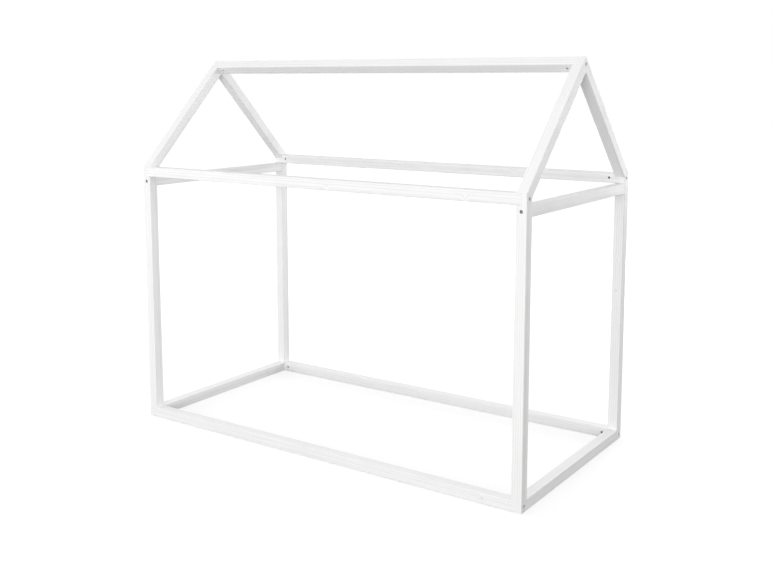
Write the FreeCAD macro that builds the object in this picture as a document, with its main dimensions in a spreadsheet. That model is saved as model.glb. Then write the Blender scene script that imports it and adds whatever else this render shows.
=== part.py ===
import FreeCAD, Part
import os
import Sketcher

# A child's bed frame in the shape of a house: seventeen timbers of one square section, held by
# bolts with barrel nuts and by hidden dowels. Millimetres. The origin is on the floor under the
# middle of the bed, X runs along the bed, the front is -Y and Z is up.

doc = FreeCAD.newDocument("house_frame_bed")

# ---------------------------------------------------------------- driving dimensions

driving_sizes = {
    "mattress_length": 1900,
    "mattress_width": 900,
    "timber": 45,
    "arris_radius": 3,
    "eave_height": 1160,  # floor to the underside of the long top rails
    "end_chamfer": 0.8,
    "bolt_diameter": 6,
    "bolt_head_diameter": 10,
    "bolt_head_height": 6,
    "bolt_key": 5,
    "bolt_key_depth": 3,
    "long_rail_bolt": 70,
    "short_rail_bolt": 90,
    "bolt_clearance": 0.25,
    "bolt_end_space": 4,
    "thread_clearance": 0.05,
    "recess_diameter": 14,
    "recess_depth": 10,
    "nut_diameter": 10,
    "nut_length": 14,
    "nut_setback": 50,  # end of a rail to the axis of its barrel nut
    "nut_clearance": 0.1,
    "dowel_diameter": 8,
    "rail_dowel": 40,
    "rafter_dowel": 30,
    "dowel_clearance": 0.05,
    "dowel_end_space": 0.5,
    "dowel_wall": 2,  # left between the recess of a bolt and the dowel beside it
    "dowel_setback": 1.25,  # seat of a bolt to the axis of the outer dowels beside it
    "mitre_dowel_shift": 9,  # from the middle of the mitre towards its outer corner
    "seat_dowel_inset": 28,  # outer face of a post to the dowel between rail and rafter
}

sizes = doc.addObject("Spreadsheet::Sheet", "sizes")
for row, (alias, number) in enumerate(driving_sizes.items(), start=1):
    sizes.set(f"A{row}", alias.replace("_", " "))
    sizes.set(f"B{row}", str(number))
    sizes.setAlias(f"B{row}", alias)
doc.recompute()

# Formulas of the driving dimensions, written as the objects of the document read them.
timber = "sizes.timber"
half = "sizes.timber / 2"
quarter = "sizes.timber / 4"
half_diagonal = "sizes.timber / sqrt(2)"
mitre_drop = "sizes.timber * tan(22.5 deg)"
bed_length = "(sizes.mattress_length + 2 * sizes.timber)"
bed_width = "(sizes.mattress_width + 2 * sizes.timber)"
half_length = f"{bed_length} / 2"
half_width = f"{bed_width} / 2"
eave = "sizes.eave_height"
rail_top = "(sizes.eave_height + sizes.timber)"
ridge_top = f"({rail_top} + {half_width})"
ridge_axis = f"({ridge_top} - {half_diagonal})"
long_rail_end = f"({half_length} - {half})"
short_rail_end = f"({half_width} - {timber})"
overcut = "sizes.timber / 4"  # how far a cut runs out past the timber

bolt_hole = "sizes.bolt_diameter / 2 + sizes.bolt_clearance"
recess = "sizes.recess_diameter / 2"
nut_hole = "sizes.nut_diameter / 2 + sizes.nut_clearance"
nut_hole_depth = f"{half} + sizes.nut_length / 2"
dowel_hole = "sizes.dowel_diameter / 2 + sizes.dowel_clearance"
rail_dowel_depth = "sizes.rail_dowel / 2 + sizes.dowel_end_space"
rafter_dowel_depth = "sizes.rafter_dowel / 2 + sizes.dowel_end_space"
outer_dowel = f"({half} - sizes.recess_depth - sizes.dowel_setback)"
bolt_to_dowel = "(sizes.recess_diameter / 2 + sizes.dowel_wall + sizes.dowel_diameter / 2)"

mitre_angle = 22.5
ridge_turn = 225  # turns the face with the barrel-nut holes to the lower front


def size(formula):
    return float(sizes.evalExpression(formula))


def times(sign, formula):
    return f"{sign} * ({formula})"


# ---------------------------------------------------------------- sketches and features


def add_sketch(body, name, plane, offset="0", tilt=0, origin=("0", "0")):
    # A tilted sketch turns about X, with its origin at (origin[0], origin[1]) in Y and Z.
    sketch = body.newObject("Sketcher::SketchObject", name)
    support = [each for each in body.Origin.OriginFeatures if each.Role == plane][0]
    sketch.AttachmentSupport = [(support, "")]
    sketch.MapMode = "FlatFace"
    if tilt:
        turn = FreeCAD.Rotation(FreeCAD.Vector(1, 0, 0), tilt)
        sketch.AttachmentOffset = FreeCAD.Placement(FreeCAD.Vector(), turn)
        sketch.setExpression("AttachmentOffset.Base.y", origin[0])
        sketch.setExpression("AttachmentOffset.Base.z", origin[1])
    else:
        sketch.setExpression("AttachmentOffset.Base.z", offset)
    return sketch


def fix(sketch, kind, name, formula, *where):
    index = sketch.addConstraint(Sketcher.Constraint(kind, *where, size(formula)))
    sketch.renameConstraint(index, name)
    sketch.setExpression(f"Constraints.{name}", formula)


def outline(sketch, corners):
    # A closed outline, each corner a pair of formulas.
    points = [FreeCAD.Vector(size(across), size(up), 0) for across, up in corners]
    count = len(points)
    for index, point in enumerate(points):
        sketch.addGeometry(Part.LineSegment(point, points[(index + 1) % count]), False)
    for index in range(count):
        following = (index + 1) % count
        sketch.addConstraint(Sketcher.Constraint("Coincident", index, 2, following, 1))
    for index, (across, up) in enumerate(corners):
        fix(sketch, "DistanceX", f"across{index}", across, -1, 1, index, 1)
        fix(sketch, "DistanceY", f"up{index}", up, -1, 1, index, 1)


def circles(sketch, centres, radius):
    for index, (across, up) in enumerate(centres):
        centre = FreeCAD.Vector(size(across), size(up), 0)
        sketch.addGeometry(Part.Circle(centre, FreeCAD.Vector(0, 0, 1), size(radius)), False)
        fix(sketch, "DistanceX", f"across{index}", across, -1, 1, index, 3)
        fix(sketch, "DistanceY", f"up{index}", up, -1, 1, index, 3)
        fix(sketch, "Radius", f"radius{index}", radius, index)


def pad(body, sketch, length):
    feature = body.newObject("PartDesign::Pad", f"{body.Name}_pad")
    feature.Profile = sketch
    feature.SideType = "Symmetric"
    feature.setExpression("Length", length)
    doc.recompute()
    return feature


def pocket(body, sketch, depth, side="One side", backward=False):
    # Forward is against the normal of the sketch's plane.
    before = body.Shape.Volume
    feature = body.newObject("PartDesign::Pocket", sketch.Name.replace("sketch", "cut"))
    feature.Profile = sketch
    feature.SideType = side
    feature.Reversed = backward
    feature.setExpression("Length", depth)
    doc.recompute()
    if body.Shape.Volume > before - 1:
        raise RuntimeError(f"{feature.Name} cuts nothing")


def cut_outline(body, name, plane, corners, depth, **options):
    sketch = add_sketch(body, f"{body.Name}_{name}_sketch", plane)
    outline(sketch, corners)
    pocket(body, sketch, depth, **options)


def drill(body, name, plane, centres, radius, depth, offset="0", **options):
    sketch = add_sketch(body, f"{body.Name}_{name}_sketch", plane, offset)
    circles(sketch, centres, radius)
    pocket(body, sketch, depth, **options)


def drill_mitre(body, across, middle, tilt, **options):
    # The dowel hole square to the mitre, whose middle is given in Y and Z.
    sketch = add_sketch(body, f"{body.Name}_mitre_dowel_sketch", "XY_Plane", tilt=tilt, origin=middle)
    circles(sketch, [(across, "-sizes.mitre_dowel_shift")], dowel_hole)
    pocket(body, sketch, rafter_dowel_depth, **options)


def round_arrises(body, base, direction):
    # Rounds the edges that run along the timber.
    names = []
    for index, edge in enumerate(base.Shape.Edges, start=1):
        along = edge.tangentAt(edge.FirstParameter)
        if abs(abs(along.dot(direction)) - 1) < 1e-6:
            names.append(f"Edge{index}")
    feature = body.newObject("PartDesign::Fillet", f"{body.Name}_arrises")
    feature.Base = (base, names)
    feature.setExpression("Radius", "sizes.arris_radius")
    doc.recompute()
    return feature


def ease_ends(body, base, direction, end):
    # Takes the sharp edge off both ends of a rail.
    names = []
    for index, edge in enumerate(base.Shape.Edges, start=1):
        reach = [abs(vertex.Point.dot(direction)) for vertex in edge.Vertexes]
        if min(reach) > size(end) - 1e-6:
            names.append(f"Edge{index}")
    feature = body.newObject("PartDesign::Chamfer", f"{body.Name}_ends")
    feature.Base = (base, names)
    feature.setExpression("Size", "sizes.end_chamfer")
    doc.recompute()


def square_bar(name, plane, length, direction):
    # A length of the square timber with rounded arrises, centred on the body's origin.
    body = doc.addObject("PartDesign::Body", name)
    sketch = add_sketch(body, f"{name}_section_sketch", plane)
    low = f"-({half})"
    outline(sketch, [(low, low), (half, low), (half, half), (low, half)])
    return body, round_arrises(body, pad(body, sketch, length), direction)


def place(piece, x, y, z, turn=None):
    if turn:
        piece.Placement = FreeCAD.Placement(FreeCAD.Vector(), turn)
    piece.setExpression("Placement.Base.x", x)
    piece.setExpression("Placement.Base.y", y)
    piece.setExpression("Placement.Base.z", z)


def about(axis, degrees):
    return FreeCAD.Rotation(FreeCAD.Vector(*axis), degrees)


def half_turn(is_turned):
    return about((0, 0, 1), 180 if is_turned else 0)


nodes = []

# ---------------------------------------------------------------- posts


def make_post(name, side, is_back):
    # In its own frame a post stands with its outer corner towards -Y and towards X * hand.
    # A back post is the opposite front post turned half round.
    hand = -side if is_back else side
    body, _ = square_bar(name, "XY_Plane", rail_top, FreeCAD.Vector(0, 0, 1))
    body_foot = f"-{rail_top} / 2"
    head = f"{rail_top} / 2"
    shoulder = f"{head} - {timber}"
    inside = times(-hand, f"{half} + {overcut}")
    across = times(2, timber)

    # Half the width is notched away for the ends of the long rails.
    foot_notch = [
        ("0", f"{body_foot} - {overcut}"),
        (inside, f"{body_foot} - {overcut}"),
        (inside, f"{body_foot} + {timber}"),
        ("0", f"{body_foot} + {timber}"),
    ]
    cut_outline(body, "foot_notch", "XZ_Plane", foot_notch, across, side="Symmetric")
    head_notch = [
        ("0", shoulder),
        (inside, shoulder),
        (inside, f"{head} + {overcut}"),
        ("0", f"{head} + {overcut}"),
    ]
    cut_outline(body, "head_notch", "XZ_Plane", head_notch, across, side="Symmetric")

    # The mitre falls from the outer face at the top of the long rail to the inner face.
    mitre = [
        (f"-({half} + {overcut})", f"{head} + ({overcut}) * tan(22.5 deg)"),
        (f"{half} + {overcut}", f"{head} - ({timber} + {overcut}) * tan(22.5 deg)"),
        (f"{half} + {overcut}", f"{head} + {timber}"),
        (f"-({half} + {overcut})", f"{head} + {timber}"),
    ]
    cut_outline(body, "mitre", "YZ_Plane", mitre, across, side="Symmetric")

    # Bolts into the long rails, sunk in the outer face.
    long_bolts = [("0", f"{body_foot} + {half}"), ("0", f"{head} - {half}")]
    drill(body, "long_bolt", "YZ_Plane", long_bolts, bolt_hole, across, side="Symmetric")
    drill(body, "long_recess", "YZ_Plane", long_bolts, recess, "sizes.recess_depth",
          offset=times(hand, half), backward=hand < 0)

    # The bolt into the short top rail, sunk in the front or back face.
    short_bolt = [("0", f"{shoulder} - {half}")]
    drill(body, "short_bolt", "XZ_Plane", short_bolt, bolt_hole, across, side="Symmetric")
    drill(body, "short_recess", "XZ_Plane", short_bolt, recess, "sizes.recess_depth", offset=half)

    # Dowels into the short rails, from the inner face.
    inner_dowels = [
        (f"-{bolt_to_dowel}", f"{shoulder} - {half}"),
        (bolt_to_dowel, f"{shoulder} - {half}"),
        (times(hand, outer_dowel), f"{body_foot} + {half} + {bolt_to_dowel}"),
    ]
    drill(body, "rail_dowel", "XZ_Plane", inner_dowels, dowel_hole, rail_dowel_depth,
          offset=f"-({half})", backward=True)

    # The dowel across the mitre.
    middle = ("0", f"{head} - {mitre_drop} / 2")
    drill_mitre(body, times(hand, outer_dowel), middle, -mitre_angle)

    place(body, times(side, f"{half_length} - {half}"),
          times(1 if is_back else -1, f"{half_width} - {half}"), head, half_turn(is_back))
    nodes.append(body)


# ---------------------------------------------------------------- rafters


def make_rafter(name, side, is_back):
    # In its own frame a rafter rises from its outer bend at the origin towards +Y.
    # A back rafter is the opposite front rafter turned half round.
    hand = -side if is_back else side
    body = doc.addObject("PartDesign::Body", name)
    profile = add_sketch(body, f"{name}_profile_sketch", "YZ_Plane")
    apex = [
        (half_width, half_width),
        (half_width, f"{half_width} - 2 * {half_diagonal}"),
    ]
    outline(profile, [("0", "0"), *apex, (timber, f"-{mitre_drop}")])
    slope = FreeCAD.Vector(0, 1, 1).normalize()
    round_arrises(body, pad(body, profile, timber), slope)
    deep = f"{half} + {overcut}"
    across = times(2, timber)

    # The inner half of the foot stands on the end of the long top rail.
    foot_notch = [
        (f"-({overcut})", "0"),
        (f"-({overcut})", f"-{timber}"),
        (timber, f"-{timber}"),
        (timber, "0"),
    ]
    cut_outline(body, "foot_notch", "YZ_Plane", foot_notch, deep, backward=hand < 0)

    # The inner half of the head is cut square for the end of the ridge beam.
    upper = f"{half_width} - {half_diagonal}"
    lower = f"{half_width} - 2 * {half_diagonal}"
    head_notch = [
        (f"{upper} - {overcut}", f"{upper} + {overcut}"),
        (f"{half_width} + {overcut}", f"{lower} - {overcut}"),
        (f"{half_width} + {overcut} + {timber}", f"{lower} - {overcut} + {timber}"),
        (f"{upper} - {overcut} + {timber}", f"{upper} + {overcut} + {timber}"),
    ]
    cut_outline(body, "head_notch", "YZ_Plane", head_notch, deep, backward=hand < 0)

    # The bolt into the ridge beam passes through the joint of the two rafters.
    ridge_bolt = [(half_width, upper)]
    drill(body, "ridge_bolt", "YZ_Plane", ridge_bolt, bolt_hole, across, side="Symmetric")
    drill(body, "ridge_recess", "YZ_Plane", ridge_bolt, recess, "sizes.recess_depth",
          offset=times(hand, half), backward=hand < 0)

    # Dowels: level through the apex, upright into the rail, and across the mitre.
    apex_dowel = [(times(hand, outer_dowel), f"{upper} - {bolt_to_dowel}")]
    drill(body, "apex_dowel", "XZ_Plane", apex_dowel, dowel_hole, rafter_dowel_depth,
          offset=f"-{half_width}", backward=True)
    seat_dowel = [(times(-hand, quarter), "sizes.seat_dowel_inset")]
    drill(body, "seat_dowel", "XY_Plane", seat_dowel, dowel_hole, rafter_dowel_depth,
          backward=True)
    drill_mitre(body, times(hand, outer_dowel), (half, f"-{mitre_drop} / 2"), -mitre_angle,
                backward=True)

    place(body, times(side, f"{half_length} - {half}"),
          times(1 if is_back else -1, half_width), rail_top, half_turn(is_back))
    nodes.append(body)


# ---------------------------------------------------------------- rails and ridge


def make_long_bar(name):
    # A long rail or the ridge beam, lying along X with its barrel-nut holes in the +Y face.
    body, bar = square_bar(name, "YZ_Plane", times(2, long_rail_end), FreeCAD.Vector(1, 0, 0))
    ease_ends(body, bar, FreeCAD.Vector(1, 0, 0), long_rail_end)
    reach = f"sizes.long_rail_bolt + sizes.recess_depth - {half} + sizes.bolt_end_space"
    for side, label in ((-1, "left"), (1, "right")):
        drill(body, f"{label}_bolt", "YZ_Plane", [("0", "0")], bolt_hole, reach,
              offset=times(side, long_rail_end), backward=side < 0)
    nuts = [(times(side, f"{long_rail_end} - sizes.nut_setback"), "0") for side in (-1, 1)]
    drill(body, "nuts", "XZ_Plane", nuts, nut_hole, nut_hole_depth, offset=f"-({half})",
          backward=True)
    nodes.append(body)
    return body


def make_long_rail(name, is_back, is_top):
    body = make_long_bar(name)
    if is_top:
        seats = [
            (times(side, f"{long_rail_end} - {quarter}"), f"sizes.seat_dowel_inset - {half}")
            for side in (-1, 1)
        ]
        drill(body, "seat_dowels", "XY_Plane", seats, dowel_hole, rafter_dowel_depth, offset=half)
    else:
        dowels = [
            (times(side, f"{long_rail_end} - {quarter}"), f"-{bolt_to_dowel}")
            for side in (-1, 1)
        ]
        drill(body, "rail_dowels", "XZ_Plane", dowels, dowel_hole, rail_dowel_depth,
              offset=f"-({half})", backward=True)
    level = f"{eave} + {half}" if is_top else half
    place(body, "0", times(1 if is_back else -1, f"{half_width} - {half}"), level,
          half_turn(is_back))


def make_short_rail(name, side, is_top):
    # Lies along Y with its outer face towards +X.
    along = FreeCAD.Vector(0, 1, 0)
    body, bar = square_bar(name, "XZ_Plane", times(2, short_rail_end), along)
    ease_ends(body, bar, along, short_rail_end)
    if is_top:
        dowels = [(f"-{bolt_to_dowel}", "0"), (bolt_to_dowel, "0")]
    else:
        dowels = [
            (outer_dowel, bolt_to_dowel),
            (f"-({quarter})", f"-{bolt_to_dowel}"),
        ]
    reach = f"sizes.short_rail_bolt + sizes.recess_depth - {timber} + sizes.bolt_end_space"
    for end, label in ((-1, "front"), (1, "back")):
        face = times(-end, short_rail_end)
        drill(body, f"{label}_dowels", "XZ_Plane", dowels, dowel_hole, rail_dowel_depth,
              offset=face, backward=end > 0)
        if is_top:
            drill(body, f"{label}_bolt", "XZ_Plane", [("0", "0")], bolt_hole, reach,
                  offset=face, backward=end > 0)
    if is_top:
        nuts = [("0", times(end, f"{short_rail_end} - sizes.nut_setback")) for end in (-1, 1)]
        drill(body, "nuts", "XY_Plane", nuts, nut_hole, nut_hole_depth, offset=f"-({half})",
              backward=True)
    level = f"{eave} - {half}" if is_top else half
    place(body, times(side, f"{half_length} - {half}"), "0", level, half_turn(side < 0))
    nodes.append(body)


for side, side_name in ((-1, "left"), (1, "right")):
    for is_back, depth_name in ((False, "front"), (True, "back")):
        make_post(f"post_{depth_name}_{side_name}", side, is_back)
        make_rafter(f"rafter_{depth_name}_{side_name}", side, is_back)
    make_short_rail(f"short_bottom_rail_{side_name}", side, False)
    make_short_rail(f"short_top_rail_{side_name}", side, True)

for is_back, depth_name in ((False, "front"), (True, "back")):
    make_long_rail(f"long_bottom_rail_{depth_name}", is_back, False)
    make_long_rail(f"long_top_rail_{depth_name}", is_back, True)

# The ridge beam lies corner up, its barrel-nut holes in the lower front face.
ridge = make_long_bar("ridge_beam")
place(ridge, "0", "0", ridge_axis, about((1, 0, 0), ridge_turn))

# ---------------------------------------------------------------- fasteners


def cylinder(name, radius, height):
    piece = doc.addObject("Part::Cylinder", name)
    piece.setExpression("Radius", radius)
    piece.setExpression("Height", height)
    return piece


def boolean(kind, name, base, tool):
    piece = doc.addObject(kind, name)
    piece.Base = base
    piece.Tool = tool
    return piece


def make_bolt(name, length):
    # The shank runs along +Z from under the head, which has a socket for a hexagon key.
    shank = cylinder(f"{name}_shank", "sizes.bolt_diameter / 2", length)
    head = cylinder(f"{name}_head", "sizes.bolt_head_diameter / 2", "sizes.bolt_head_height")
    place(head, "0", "0", "-sizes.bolt_head_height")
    key = doc.addObject("Part::Prism", f"{name}_key")
    key.Polygon = 6
    key.setExpression("Circumradius", "sizes.bolt_key / sqrt(3)")
    key.setExpression("Height", "2 * sizes.bolt_key_depth")
    place(key, "0", "0", "-sizes.bolt_head_height - sizes.bolt_key_depth")
    solid = boolean("Part::Fuse", f"{name}_solid", head, shank)
    return boolean("Part::Cut", name, solid, key)


def make_nut(name):
    # The barrel stands along Z, centred, with its threaded hole along X.
    barrel = cylinder(f"{name}_barrel", "sizes.nut_diameter / 2", "sizes.nut_length")
    place(barrel, "0", "0", "-sizes.nut_length / 2")
    thread = cylinder(f"{name}_thread", "sizes.bolt_diameter / 2 + sizes.thread_clearance",
                      "2 * sizes.nut_diameter")
    place(thread, "-sizes.nut_diameter", "0", "0", about((0, 1, 0), 90))
    return boolean("Part::Cut", name, barrel, thread)


def make_dowel(name, length, x, y, z, turn):
    # Centred on the point given, along Z before it is turned.
    dowel = cylinder(f"{name}_pin", "sizes.dowel_diameter / 2", length)
    place(dowel, "0", "0", f"-({length}) / 2")
    group = doc.addObject("Part::Compound", name)
    group.Links = [dowel]
    place(group, x, y, z, turn)
    return group


def make_group(name, pieces):
    group = doc.addObject("Part::Compound", name)
    group.Links = pieces
    nodes.append(group)


def to_direction(start, end):
    return FreeCAD.Rotation(FreeCAD.Vector(*start), FreeCAD.Vector(*end))


corners = [(x_side, y_side) for x_side in (-1, 1) for y_side in (-1, 1)]


def long_bolts_and_nuts(name, places, nut_axis):
    # Bolts along X from the outer faces of the posts or gables into barrel nuts.
    bolts = []
    nuts = []
    for index, (x_side, y, z) in enumerate(places):
        bolt = make_bolt(f"{name}_bolt_{index}", "sizes.long_rail_bolt")
        place(bolt, times(x_side, f"{half_length} - sizes.recess_depth"), y, z,
              to_direction((0, 0, 1), (-x_side, 0, 0)))
        bolts.append(bolt)
        nut = make_nut(f"{name}_nut_{index}")
        place(nut, times(x_side, f"{long_rail_end} - sizes.nut_setback"), y, z,
              about((1, 0, 0), nut_axis))
        nuts.append(nut)
    make_group(f"{name}_bolts", bolts)
    make_group(f"{name}_barrel_nuts", nuts)


rail_line = f"{half_width} - {half}"
for name, level in (("long_bottom_rail", half), ("long_top_rail", f"{eave} + {half}")):
    long_bolts_and_nuts(name, [(x, times(y, rail_line), level) for x, y in corners], 90)
long_bolts_and_nuts("ridge", [(x, "0", ridge_axis) for x in (-1, 1)], 315)

short_bolts = []
short_nuts = []
for index, (x_side, y_side) in enumerate(corners):
    x_line = times(x_side, f"{half_length} - {half}")
    level = f"{eave} - {half}"
    bolt = make_bolt(f"short_top_rail_bolt_{index}", "sizes.short_rail_bolt")
    place(bolt, x_line, times(y_side, f"{half_width} - sizes.recess_depth"), level,
          to_direction((0, 0, 1), (0, -y_side, 0)))
    short_bolts.append(bolt)
    nut = make_nut(f"short_top_rail_nut_{index}")
    place(nut, x_line, times(y_side, f"{short_rail_end} - sizes.nut_setback"), level,
          about((0, 0, 1), 90))
    short_nuts.append(nut)
make_group("short_top_rail_bolts", short_bolts)
make_group("short_top_rail_barrel_nuts", short_nuts)

top_dowels = []
foot_dowels = []
mitre_dowels = []
seat_dowels = []
along_y = about((1, 0, 0), 90)
upright = about((0, 0, 1), 0)
mitre_middle = f"{half_width} - {half} + sizes.mitre_dowel_shift * cos(22.5 deg)"
mitre_level = f"{rail_top} - {mitre_drop} / 2 + sizes.mitre_dowel_shift * sin(22.5 deg)"
for index, (x_side, y_side) in enumerate(corners):
    y_line = times(y_side, short_rail_end)
    for pin, spread in enumerate((-1, 1)):
        x_line = times(x_side, f"{half_length} - {half} + {spread} * {bolt_to_dowel}")
        top_dowels.append(make_dowel(f"top_dowel_{index}_{pin}", "sizes.rail_dowel",
                                     x_line, y_line, f"{eave} - {half}", along_y))
    foot_places = (
        (f"{long_rail_end} + {outer_dowel}", f"{half} + {bolt_to_dowel}"),
        (f"{long_rail_end} - {quarter}", f"{half} - {bolt_to_dowel}"),
    )
    for pin, (x_line, level) in enumerate(foot_places):
        foot_dowels.append(make_dowel(f"foot_dowel_{index}_{pin}", "sizes.rail_dowel",
                                      times(x_side, x_line), y_line, level, along_y))
    mitre_dowels.append(make_dowel(f"mitre_dowel_{index}", "sizes.rafter_dowel",
                                   times(x_side, f"{long_rail_end} + {outer_dowel}"),
                                   times(y_side, mitre_middle), mitre_level,
                                   about((1, 0, 0), y_side * mitre_angle)))
    seat_dowels.append(make_dowel(f"seat_dowel_{index}", "sizes.rafter_dowel",
                                  times(x_side, f"{long_rail_end} - {quarter}"),
                                  times(y_side, f"{half_width} - sizes.seat_dowel_inset"),
                                  rail_top, upright))
apex_dowels = [
    make_dowel(f"apex_dowel_{index}", "sizes.rafter_dowel",
               times(x_side, f"{long_rail_end} + {outer_dowel}"), "0",
               f"{ridge_axis} - {bolt_to_dowel}", along_y)
    for index, x_side in enumerate((-1, 1))
]
make_group("short_top_rail_dowels", top_dowels)
make_group("short_bottom_rail_dowels", foot_dowels)
make_group("mitre_dowels", mitre_dowels)
make_group("rafter_seat_dowels", seat_dowels)
make_group("apex_dowels", apex_dowels)

# ---------------------------------------------------------------- check and write

doc.recompute()
for each in doc.Objects:
    if "Invalid" in each.State or "Error" in each.State:
        raise RuntimeError(f"{each.Name} failed: {each.State}")

os.makedirs("parts", exist_ok=True)
for node in nodes:
    if node.Shape.isNull() or not node.Shape.isValid():
        raise RuntimeError(f"{node.Label} has no valid shape")
    node.Shape.exportStep(f"parts/{node.Label}.step")
    box = node.Shape.BoundBox
    print(f"{node.Label}: {len(node.Shape.Solids)} solids, volume {node.Shape.Volume:.0f}, "
          f"x {box.XMin:.1f} {box.XMax:.1f}, y {box.YMin:.1f} {box.YMax:.1f}, "
          f"z {box.ZMin:.1f} {box.ZMax:.1f}")
print(f"{len(nodes)} nodes, ridge at {size(ridge_top):.0f}")
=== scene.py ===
import math

import bmesh
import bpy
from mathutils import Matrix, Vector


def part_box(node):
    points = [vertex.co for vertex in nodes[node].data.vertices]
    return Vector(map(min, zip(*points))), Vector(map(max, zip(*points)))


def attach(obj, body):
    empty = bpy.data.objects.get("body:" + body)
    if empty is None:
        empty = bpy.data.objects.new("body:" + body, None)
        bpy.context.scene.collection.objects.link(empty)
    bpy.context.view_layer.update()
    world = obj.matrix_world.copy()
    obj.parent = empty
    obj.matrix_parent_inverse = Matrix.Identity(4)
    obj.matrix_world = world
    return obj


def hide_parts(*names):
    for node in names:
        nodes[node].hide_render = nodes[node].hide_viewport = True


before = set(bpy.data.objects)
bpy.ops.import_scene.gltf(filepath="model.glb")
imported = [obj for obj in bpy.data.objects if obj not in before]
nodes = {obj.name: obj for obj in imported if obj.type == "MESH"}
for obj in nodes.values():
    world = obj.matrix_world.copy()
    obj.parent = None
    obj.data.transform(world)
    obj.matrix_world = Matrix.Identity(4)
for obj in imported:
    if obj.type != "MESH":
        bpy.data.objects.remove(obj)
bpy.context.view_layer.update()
print("frame loaded,", len(nodes), "nodes")

mm = 0.001
near = 0.01 * mm  # heights closer than this count as one


def toLinear(hexColour):
    # sRGB hex to the linear values that the shaders take
    parts = [int(hexColour[at:at + 2], 16) / 255 for at in (1, 3, 5)]
    return [p / 12.92 if p <= 0.04045 else ((p + 0.055) / 1.055) ** 2.4 for p in parts] + [1]


def addNode(tree, kind, inputs=(), **settings):
    # adds a node, sets its properties, and links or sets its inputs
    node = tree.nodes.new("ShaderNode" + kind)
    for name, value in settings.items():
        setattr(node, name, value)
    for key, value in dict(inputs).items():
        if isinstance(value, bpy.types.NodeSocket):
            tree.links.new(value, node.inputs[key])
        else:
            node.inputs[key].default_value = value
    return node


def newMaterial(name):
    material = bpy.data.materials.new(name)
    material.use_nodes = True
    tree = material.node_tree
    tree.nodes.clear()
    return material, tree


def giveMaterial(piece, material):
    piece.data.materials.clear()
    piece.data.materials.append(material)


# Pine, planed and sprayed with a thin satin white. The eye gets a nearly even white with a soft
# sheen, under which the growth rings run along each timber as faint ridges, a few knots show as
# slightly darker spots with the grain bending round them, the wood glows through where the paint
# thins on the arrises, and the bores have only a mist of paint. Their dark grey-brown is partly
# bare wood and partly painted shade standing for the shade in the recesses.
paintedPine = {
    "paint": "#F0F0F0",
    "ringTone": "#E4E4E3",
    "knotTone": "#C7C5C1",
    "arrisTone": "#E4E2DE",
    # bare wood in the bores, darkened further as painted shade for the recesses
    "boreToneAndShade": "#A49D93",
    "ringSpacing": 9.0,  # mm; real ones are 2 to 4, drawn coarser so that they show
    "ringLength": 0.035,  # how slowly the rings change along a timber
    "ringWaver": 5, "ringWaverScale": 0.35,
    "fibreWidth": 3.0,  # mm; real ones are under 0.5
    "fibreLength": 0.012,
    "grainFrom": 0.42, "grainTo": 1.15,  # rings and fibres that just show, and that show fully
    "knotSpacing": 150, "knotRadius": 8,  # mm
    "knotDepth": 0.32,  # how far the paint lets the knots show
    "knotPull": 9,  # how hard the rings bend round a knot
    "arrisWidth": 1.4, "arrisReach": 21.6,  # mm; half a timber is 22.5
    "boreStart": 21, "boreFull": 17,  # mm from the axis: where a bore's tone, bare wood with painted shade, begins and is full
    "sprayScale": 9, "sprayFrom": 0.3, "sprayTo": 0.7,  # thick and thin patches, 9 to a metre
    "roughness": 0.42, "smoother": 0.05, "rougher": 0.06,
    "reliefDepth": 0.06, "reliefStrength": 0.5,
}


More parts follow.
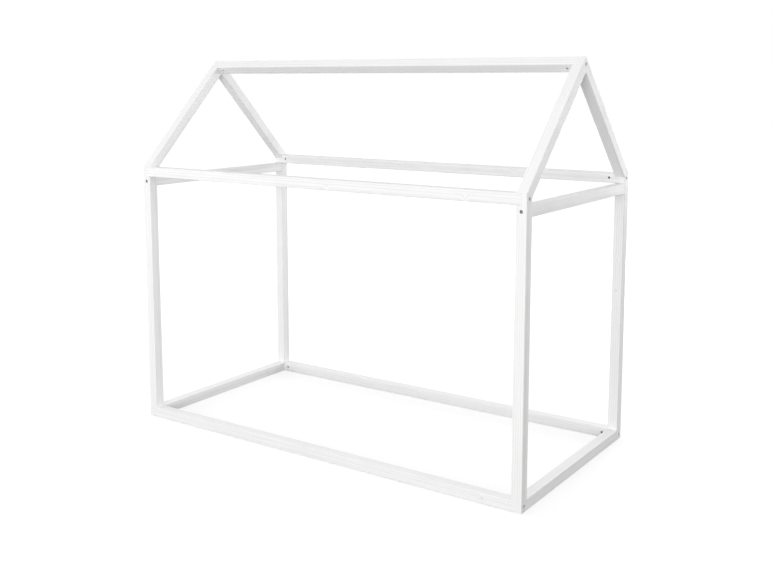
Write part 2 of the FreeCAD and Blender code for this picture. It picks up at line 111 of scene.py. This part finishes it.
def makePaintedPine(name, centre, turn, seed):
    look = paintedPine
    material, tree = newMaterial("painted pine, satin white: " + name)
    place = addNode(tree, "TexCoord").outputs["Object"]
    # the mapping lays the timber along Z with its middle at the origin
    local = addNode(tree, "Mapping", {"Vector": place, "Location": centre, "Rotation": turn},
                    vector_type="TEXTURE").outputs[0]
    shifted = addNode(tree, "VectorMath", {0: local, 1: seed}, operation="ADD").outputs[0]
    # knots: sparse round spots
    knots = addNode(tree, "TexVoronoi", {"Vector": shifted, "Scale": 1000 / look["knotSpacing"]})
    knotReach = look["knotRadius"] / look["knotSpacing"]
    knotMask = addNode(tree, "MapRange", {
        "Value": knots.outputs["Distance"], "From Min": knotReach, "From Max": knotReach * 0.5,
        "To Min": 0, "To Max": 1}, interpolation_type="SMOOTHSTEP").outputs[0]
    knotPull = addNode(tree, "MapRange", {
        "Value": knots.outputs["Distance"], "From Min": knotReach * 3, "From Max": 0,
        "To Min": 0, "To Max": look["knotPull"]}, interpolation_type="SMOOTHSTEP").outputs[0]
    # growth rings round a pith beside the timber, drawn out along it, wide and narrow by turns
    drawn = addNode(tree, "VectorMath", {0: shifted, 1: (1, 1, look["ringLength"])},
                    operation="MULTIPLY").outputs[0]
    rings = addNode(tree, "TexWave", {
        "Vector": drawn, "Scale": 2 * math.pi / (20 * look["ringSpacing"] * mm),
        "Distortion": look["ringWaver"], "Detail": 1, "Detail Scale": look["ringWaverScale"],
        "Phase Offset": knotPull},
        wave_type="RINGS", rings_direction="Z", wave_profile="SIN").outputs["Fac"]
    fine = addNode(tree, "VectorMath", {0: shifted, 1: (1, 1, look["fibreLength"])},
                   operation="MULTIPLY").outputs[0]
    fibres = addNode(tree, "TexNoise", {
        "Vector": fine, "Scale": 1 / (look["fibreWidth"] * mm), "Detail": 1,
        "Roughness": 0.5}).outputs["Fac"]
    spray = addNode(tree, "TexNoise", {
        "Vector": shifted, "Scale": look["sprayScale"], "Detail": 3}).outputs["Fac"]
    # colour
    lateWood = addNode(tree, "Math", {0: rings, 1: 3}, operation="POWER").outputs[0]
    ringShade = addNode(tree, "Math", {0: lateWood, 1: spray}, operation="MULTIPLY").outputs[0]
    grain = addNode(tree, "MapRange", {
        "Value": addNode(tree, "Math", {0: ringShade, 1: fibres}, operation="ADD").outputs[0],
        "From Min": look["grainFrom"], "From Max": look["grainTo"],
        "To Min": 0, "To Max": 1}).outputs[0]
    toned = addNode(tree, "Mix", {"Factor": grain, 6: toLinear(look["paint"]),
                                  7: toLinear(look["ringTone"])}, data_type="RGBA").outputs[2]
    knotFactor = addNode(tree, "Math", {0: knotMask, 1: look["knotDepth"]},
                         operation="MULTIPLY").outputs[0]
    knotted = addNode(tree, "Mix", {"Factor": knotFactor, 6: toned,
                                    7: toLinear(look["knotTone"])}, data_type="RGBA").outputs[2]
    # how far out a point lies tells the arrises, and the bores that go in from the faces
    parts = addNode(tree, "SeparateXYZ", {0: local})
    across = [addNode(tree, "Math", {0: parts.outputs[axis]}, operation="ABSOLUTE").outputs[0]
              for axis in ("X", "Y")]
    inmost = addNode(tree, "Math", {0: across[0], 1: across[1]}, operation="MINIMUM").outputs[0]
    outmost = addNode(tree, "Math", {0: across[0], 1: across[1]}, operation="MAXIMUM").outputs[0]
    arris = addNode(tree, "MapRange", {
        "Value": inmost, "From Min": (look["arrisReach"] - look["arrisWidth"]) * mm,
        "From Max": look["arrisReach"] * mm,
        "To Min": 0, "To Max": 1}, interpolation_type="SMOOTHSTEP").outputs[0]
    thin = addNode(tree, "Math", {0: arris, 1: spray}, operation="MULTIPLY").outputs[0]
    worn = addNode(tree, "Mix", {"Factor": thin, 6: knotted,
                                 7: toLinear(look["arrisTone"])}, data_type="RGBA").outputs[2]
    # the bore walls take the bore tone: bare wood plus painted shade that darkens the recesses
    bareAndShaded = addNode(tree, "MapRange", {
        "Value": outmost, "From Min": look["boreStart"] * mm, "From Max": look["boreFull"] * mm,
        "To Min": 0, "To Max": 1}).outputs[0]
    colour = addNode(tree, "Mix", {"Factor": bareAndShaded, 6: worn,
                                   7: toLinear(look["boreToneAndShade"])}, data_type="RGBA").outputs[2]
    roughness = addNode(tree, "MapRange", {
        "Value": spray, "From Min": look["sprayFrom"], "From Max": look["sprayTo"],
        "To Min": look["roughness"] - look["smoother"],
        "To Max": look["roughness"] + look["rougher"]}).outputs[0]
    bump = addNode(tree, "Bump", {"Height": ringShade, "Strength": look["reliefStrength"],
                                  "Distance": look["reliefDepth"] * mm}).outputs[0]
    shader = addNode(tree, "BsdfPrincipled", {
        "Base Color": colour, "Roughness": roughness, "Normal": bump, "IOR": 1.45})
    addNode(tree, "OutputMaterial", {"Surface": shader.outputs[0]})
    return material


def timberFrame(name):
    # the middle of a timber, and the directions across it and along it
    low, high = (Vector(corner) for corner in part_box(name))
    middle = (low + high) / 2
    if name.startswith("post"):
        return middle, Vector((1, 0, 0)), Vector((0, 0, 1))
    if name.startswith("rafter"):
        # the box of a rafter ends at the ridge, so its axis is found from there
        lean = 1 if "front" in name else -1
        side = high.x - low.x
        middle.z = high.z - (high.y - low.y) / 2 - side / math.sqrt(2)
        return middle, Vector((1, 0, 0)), Vector((0, lean, 1)).normalized()
    if name == "ridge_beam":
        return middle, Vector((0, 1, 1)).normalized(), Vector((1, 0, 0))
    if name.startswith("long"):
        return middle, Vector((0, 1, 0)), Vector((1, 0, 0))
    return middle, Vector((1, 0, 0)), Vector((0, 1, 0))


timbers = [name for name in sorted(nodes) if not name.endswith(("bolts", "nuts", "dowels"))]
for number, name in enumerate(timbers):
    # each timber is cut from its own stretch of the pattern
    middle, across, along = timberFrame(name)
    turn = Matrix((across, along.cross(across), along)).transposed().to_euler()
    # the pith lies 3 to 6 cm off a timber's axis, and no two timbers start at the same place
    seed = (0.031 + 0.007 * (number % 5), 0.024 - 0.011 * (number % 3), 0.37 * number)
    giveMaterial(nodes[name], makePaintedPine(name, middle, turn, seed))
print("timbers painted")


# Zinc-plated steel of furniture bolts and barrel nuts: a cool grey metal, softly bright, with a
# fine blur from the plating and dull patches from handling.
zincSteel = {"metal": "#A4A6AA", "dull": "#7E8185", "patch": 3.0,
             "roughness": 0.36, "smoother": 0.06, "rougher": 0.1}


def makeZincSteel(name):
    look = zincSteel
    material, tree = newMaterial(name)
    place = addNode(tree, "TexCoord").outputs["Object"]
    patches = addNode(tree, "TexNoise", {"Vector": place, "Scale": 1 / (look["patch"] * mm),
                                         "Detail": 4}).outputs["Fac"]
    colour = addNode(tree, "Mix", {"Factor": patches, 6: toLinear(look["metal"]),
                                   7: toLinear(look["dull"])}, data_type="RGBA").outputs[2]
    roughness = addNode(tree, "MapRange", {
        "Value": patches, "From Min": 0.3, "From Max": 0.7,
        "To Min": look["roughness"] - look["smoother"],
        "To Max": look["roughness"] + look["rougher"]}).outputs[0]
    shader = addNode(tree, "BsdfPrincipled", {
        "Base Color": colour, "Metallic": 1, "Roughness": roughness})
    addNode(tree, "OutputMaterial", {"Surface": shader.outputs[0]})
    return material


# Beech dowels, turned and fluted: pale reddish brown with short dark flecks. They stay hidden.
beech = {"wood": "#D2AE84", "fleck": "#A97F57", "fleckLength": 3.0, "roughness": 0.6}


def makeBeech():
    look = beech
    material, tree = newMaterial("beech, turned and fluted")
    place = addNode(tree, "TexCoord").outputs["Object"]
    flecks = addNode(tree, "TexNoise", {"Vector": place, "Scale": 1 / (look["fleckLength"] * mm),
                                        "Detail": 4, "Distortion": 0.6}).outputs["Fac"]
    colour = addNode(tree, "Mix", {"Factor": flecks, 6: toLinear(look["wood"]),
                                   7: toLinear(look["fleck"])}, data_type="RGBA").outputs[2]
    shader = addNode(tree, "BsdfPrincipled", {"Base Color": colour,
                                              "Roughness": look["roughness"]})
    addNode(tree, "OutputMaterial", {"Surface": shader.outputs[0]})
    return material


boltMetal = makeZincSteel("zinc-plated steel, bolts")
nutMetal = makeZincSteel("zinc-plated steel, barrel nuts")
dowelWood = makeBeech()
for name, node in nodes.items():
    if name.endswith("dowels"):
        giveMaterial(node, dowelWood)
print("dowels dressed")


def pick(piece, kind, test):
    # in edit mode, selects the faces or edges that pass a test, and nothing else
    bpy.ops.mesh.select_all(action="DESELECT")
    bpy.ops.mesh.select_mode(type=kind)
    shape = bmesh.from_edit_mesh(piece.data)
    for each in (shape.faces if kind == "FACE" else shape.edges):
        if test(each):
            each.select = True
    shape.select_flush_mode()
    bmesh.update_edit_mesh(piece.data)


def addCylinder(name, radius, depth, place, sides=48, rotation=(0, 0, 0)):
    bpy.ops.object.select_all(action="DESELECT")
    bpy.ops.mesh.primitive_cylinder_add(vertices=sides, radius=radius * mm, depth=depth * mm,
                                        location=[p * mm for p in place], rotation=rotation)
    piece = bpy.context.object
    piece.name = name
    return piece


def cutAway(piece, cutter):
    # takes the cutter out of the piece and removes it
    cut = piece.modifiers.new("cut", "BOOLEAN")
    cut.operation = "DIFFERENCE"
    cut.solver = "EXACT"
    cut.object = cutter
    bpy.ops.object.select_all(action="DESELECT")
    bpy.context.view_layer.objects.active = piece
    piece.select_set(True)
    bpy.ops.object.modifier_apply(modifier=cut.name)
    bpy.data.objects.remove(cutter)


def settle(piece):
    # its place goes into its mesh, faces turn outwards, and only hard edges stay sharp
    bpy.ops.object.select_all(action="DESELECT")
    bpy.context.view_layer.objects.active = piece
    piece.select_set(True)
    bpy.ops.object.transform_apply(location=True, rotation=True, scale=True)
    bpy.ops.object.mode_set(mode="EDIT")
    bpy.ops.mesh.select_all(action="SELECT")
    bpy.ops.mesh.remove_doubles(threshold=0.005 * mm)
    bpy.ops.mesh.normals_make_consistent(inside=False)
    bpy.ops.object.mode_set(mode="OBJECT")
    bpy.ops.object.shade_smooth_by_angle(angle=math.radians(32))


def isRim(edge, level, reach):
    # an edge of the round at this height, up to this far from the axis
    return all(abs(v.co.z - level * mm) < near and v.co.xy.length < reach * mm
               for v in edge.verts)


# Furniture connector bolt for a hexagon key: a low cylinder head with a rounded rim, and a long
# shank threaded over its last stretch. It stands head up with its seat at the origin.
boltLook = {
    "length": 70, "lengthShortRails": 90,  # mm under the head
    "headWidth": 10, "headHeight": 6, "rimRound": 0.9,
    "key": 5, "keyDepth": 3, "keyMouth": 0.3,
    "shank": 6, "threadLength": 24, "threadPitch": 2,  # real pitch 1, drawn coarser
    "threadWaist": 0.84, "point": 1.2, "pointWidth": 0.7,
    "keyFloorInset": 1.5, "keyFloorSunk": 0.8,  # the drilled hollow under the socket
}


def makeBolt(length):
    look = boltLook
    top = look["headHeight"]
    bolt = addCylinder("bolt", look["headWidth"] / 2, top, (0, 0, top / 2))
    bpy.ops.object.transform_apply(location=True)
    bpy.ops.object.mode_set(mode="EDIT")
    pick(bolt, "EDGE", lambda e: isRim(e, top, look["headWidth"]))
    bpy.ops.mesh.bevel(offset=look["rimRound"] * mm, segments=4)
    pick(bolt, "FACE", lambda f: f.normal.z < -0.9)
    bpy.ops.mesh.inset(thickness=(look["headWidth"] - look["shank"]) / 2 * mm)
    turns = round(look["threadLength"] / look["threadPitch"])
    plain = length - look["threadLength"] - look["point"]

    def runOn(step, size):
        bpy.ops.mesh.extrude_region_move(TRANSFORM_OT_translate={"value": (0, 0, -step * mm)})
        bpy.ops.transform.resize(value=(size, size, 1), center_override=(0, 0, 0))

    runOn(plain, 1)
    for turn in range(turns):
        runOn(look["threadPitch"] / 2, look["threadWaist"])
        runOn(look["threadPitch"] / 2, 1 / look["threadWaist"])
    runOn(look["point"], look["pointWidth"])
    bpy.ops.object.mode_set(mode="OBJECT")
    keyCorner = look["key"] / math.sqrt(3)
    cutAway(bolt, addCylinder("key", keyCorner, 2 * look["keyDepth"], (0, 0, top), sides=6))
    bpy.ops.object.mode_set(mode="EDIT")
    pick(bolt, "EDGE", lambda e: isRim(e, top, keyCorner + look["keyMouth"]))
    bpy.ops.mesh.bevel(offset=look["keyMouth"] * mm, segments=2)
    keyFloor = (top - look["keyDepth"]) * mm
    pick(bolt, "FACE", lambda f: abs(f.calc_center_median().z - keyFloor) < near
         and f.normal.z > 0.9)
    bpy.ops.mesh.inset(thickness=look["keyFloorInset"] * mm)
    bpy.ops.transform.translate(value=(0, 0, -look["keyFloorSunk"] * mm))
    bpy.ops.object.mode_set(mode="OBJECT")
    settle(bolt)
    giveMaterial(bolt, boltMetal)
    return bolt


# Barrel nut: a short round bar with a hole across it for the bolt's thread, and in one end the
# slot by which a screwdriver turns it in line with the bolt. The slotted end is up and the hole
# runs along X.
nutLook = {"width": 10, "length": 14, "rimRound": 0.6,
           "hole": 6.2,  # as wide as the bolt's thread, whose turns fill it
           "slotWidth": 1.6, "slotDepth": 1.8}


def makeNut():
    look = nutLook
    end = look["length"] / 2
    nut = addCylinder("nut", look["width"] / 2, look["length"], (0, 0, 0))
    bpy.ops.object.mode_set(mode="EDIT")
    pick(nut, "EDGE", lambda e: isRim(e, end, look["width"]) or isRim(e, -end, look["width"]))
    bpy.ops.mesh.bevel(offset=look["rimRound"] * mm, segments=3)
    bpy.ops.object.mode_set(mode="OBJECT")
    cutAway(nut, addCylinder("hole", look["hole"] / 2, 2 * look["width"], (0, 0, 0), sides=32,
                             rotation=(0, math.pi / 2, 0)))
    bpy.ops.mesh.primitive_cube_add(size=1, location=(0, 0, end * mm))
    slot = bpy.context.object
    slot.scale = (2 * look["width"] * mm, look["slotWidth"] * mm, 2 * look["slotDepth"] * mm)
    cutAway(nut, slot)
    settle(nut)
    giveMaterial(nut, nutMetal)
    return nut


def putCopy(model, name, node, seat, facing, turn):
    # a copy with its own mesh: its Z looks along facing, turned about that by an angle
    copy = bpy.data.objects.new(name, model.data.copy())
    bpy.context.scene.collection.objects.link(copy)
    aim = Vector(facing).to_track_quat("Z", "Y").to_matrix().to_4x4()
    copy.data.transform(Matrix.Translation(seat) @ aim @ Matrix.Rotation(turn, 4, "Z"))
    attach(copy, "root")
    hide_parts(node)


# The bolts stand where the CAD ones do, read from their boxes: those of the long rails and the
# ridge go in from the ends, and those of the short top rails from the front and back.
longBolt = makeBolt(boltLook["length"])
shortBolt = makeBolt(boltLook["lengthShortRails"])
barrelNut = makeNut()
head = boltLook["headHeight"] * mm
headHalf = boltLook["headWidth"] / 2 * mm
nutHalf = nutLook["width"] / 2 * mm
nutEnd = nutLook["length"] / 2 * mm
for group in ("long_bottom_rail", "long_top_rail", "ridge", "short_top_rail"):
    boltNode, nutNode = group + "_bolts", group + "_barrel_nuts"
    low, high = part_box(boltNode)
    nutLow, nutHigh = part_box(nutNode)
    level = (low.z + high.z) / 2
    nutLevel = (nutLow.z + nutHigh.z) / 2
    rows = (0,) if group == "ridge" else (-1, 1)
    for end in (-1, 1):
        for side in rows:
            tag = "_" + ("left", "right")[end > 0] + {-1: "_front", 0: "", 1: "_back"}[side]
            turn = 0.7 * end + 0.4 * side + level  # no two sockets stand turned alike
            if group == "short_top_rail":
                seat = Vector((end * (high.x - headHalf), side * (high.y - head), level))
                putCopy(shortBolt, group + "_bolt" + tag, boltNode, seat,
                        (0, side, 0), turn)
                middle = Vector((end * (nutHigh.x - nutHalf), side * (nutHigh.y - nutHalf),
                                 nutLevel))
                putCopy(barrelNut, group + "_nut" + tag, nutNode, middle,
                        (0, 0, -1), math.pi / 2)
                continue
            seat = Vector((end * (high.x - head), side * (high.y - headHalf), level))
            putCopy(longBolt, group + "_bolt" + tag, boltNode, seat,
                    (end, 0, 0), turn)
            facing = (0, -1, -1) if group == "ridge" else (0, -side, 0)
            middle = Vector((end * (nutHigh.x - nutHalf), side * (nutHigh.y - nutEnd), nutLevel))
            putCopy(barrelNut, group + "_nut" + tag, nutNode, middle,
                    facing, 0)
for model in (longBolt, shortBolt, barrelNut):
    bpy.data.objects.remove(model)
print("bolts and barrel nuts fitted")

# Floor and surroundings: the camera, and gloss, see white. Everything else gets a plain pale
# dome, dimmer overhead, a greyer floor, and softboxes a little above the top rails.
studio = {
    "horizonLight": 1.0, "zenithLight": 0.78, "zenithFrom": 0.6,
    "floorSize": 60,
    "floorSeen": "#CBCBCB",
    "floorBounce": "#8C8C8C",
    "glowNear": 0.45, "glowFar": 0.62,  # the floor's own light for the eye, by the bed and far off
    "nearReach": 1.5, "farReach": 6.0,
    "aimHeight": 0.9,
}
softboxes = {
    "front_right": {"place": (2.2, -7.6, 1.4), "size": (3.6, 2.5), "power": 250},
    "front_left": {"place": (-3.2, -3.4, 1.1), "size": (2, 1.6), "power": 24},
    "left": {"place": (-7.5, 0, 1.3), "size": (3, 2.4), "power": 165},
    "back_right": {"place": (1.1, 5.2, 1.3), "size": (2.6, 1.8), "power": 118},
}


def seenPlainly(tree):
    # 1 for rays from the camera or off gloss and glass, 0 for the light on the object
    path = addNode(tree, "LightPath").outputs
    gloss = addNode(tree, "Math", {0: path["Is Glossy Ray"], 1: path["Is Transmission Ray"]},
                    operation="MAXIMUM").outputs[0]
    return addNode(tree, "Math", {0: path["Is Camera Ray"], 1: gloss},
                   operation="MAXIMUM").outputs[0]


world = bpy.data.worlds.new("studio")
bpy.context.scene.world = world
world.use_nodes = True
tree = world.node_tree
tree.nodes.clear()
height = addNode(tree, "SeparateXYZ", {0: addNode(tree, "TexCoord").outputs["Generated"]})
dome = addNode(tree, "MapRange", {
    "Value": height.outputs["Z"], "From Min": 0, "From Max": studio["zenithFrom"],
    "To Min": studio["horizonLight"], "To Max": studio["zenithLight"]},
    interpolation_type="SMOOTHSTEP").outputs[0]
strength = addNode(tree, "MapRange", {"Value": seenPlainly(tree), "To Min": dome,
                                      "To Max": 1}).outputs[0]
sky = addNode(tree, "Background", {"Color": (1, 1, 1, 1), "Strength": strength}).outputs[0]
addNode(tree, "OutputWorld", {"Surface": sky})

bpy.ops.object.select_all(action="DESELECT")
bpy.ops.mesh.primitive_plane_add(size=studio["floorSize"], location=(0, 0, 0))
floor = bpy.context.object
floor.name = "studio_floor"
material, tree = newMaterial("studio floor, matt white")
seen = seenPlainly(tree)
tone = addNode(tree, "Mix", {"Factor": seen, 6: toLinear(studio["floorBounce"]),
                             7: toLinear(studio["floorSeen"])}, data_type="RGBA").outputs[2]
base = addNode(tree, "BsdfDiffuse", {"Color": tone}).outputs[0]
reach = addNode(tree, "VectorMath", {0: addNode(tree, "TexCoord").outputs["Object"]},
                operation="LENGTH").outputs["Value"]
spread = addNode(tree, "MapRange", {
    "Value": reach, "From Min": studio["nearReach"], "From Max": studio["farReach"],
    "To Min": studio["glowNear"], "To Max": studio["glowFar"]},
    interpolation_type="SMOOTHSTEP").outputs[0]
glow = addNode(tree, "Math", {0: seen, 1: spread}, operation="MULTIPLY").outputs[0]
light = addNode(tree, "Emission", {"Color": (1, 1, 1, 1), "Strength": glow}).outputs[0]
both = addNode(tree, "AddShader", {0: base, 1: light}).outputs[0]
addNode(tree, "OutputMaterial", {"Surface": both})
giveMaterial(floor, material)
material.cycles.emission_sampling = "NONE"  # the glow is only for the eye

for name, lamp in softboxes.items():
    data = bpy.data.lights.new(name, "AREA")
    data.shape = "RECTANGLE"
    data.size, data.size_y = lamp["size"]
    data.energy = lamp["power"]
    softbox = bpy.data.objects.new(name, data)
    softbox.location = lamp["place"]
    softbox.visible_glossy = name != "left"  # seen along the bed, it would white out the tops
    aim = Vector((0, 0, studio["aimHeight"])) - Vector(lamp["place"])
    softbox.rotation_euler = aim.to_track_quat("-Z", "Y").to_euler()
    bpy.context.scene.collection.objects.link(softbox)

# The photograph looks down the bed from the front right corner, at about eye height.
view = {"place": (2.593, -3.727, 1.611), "heading": 124.36, "tilt": -7.55, "lens": 46.87,
        "rise": -0.10}
data = bpy.data.cameras.new("camera")
data.lens = view["lens"]
data.sensor_width = 36
data.shift_y = view["rise"]
data.clip_end = 200
camera = bpy.data.objects.new("camera", data)
camera.location = view["place"]
camera.rotation_euler = (math.radians(90 + view["tilt"]), 0, math.radians(view["heading"] - 90))
bpy.context.scene.collection.objects.link(camera)
bpy.context.scene.camera = camera
bpy.context.scene.view_settings.view_transform = "Standard"
print("studio and camera set")
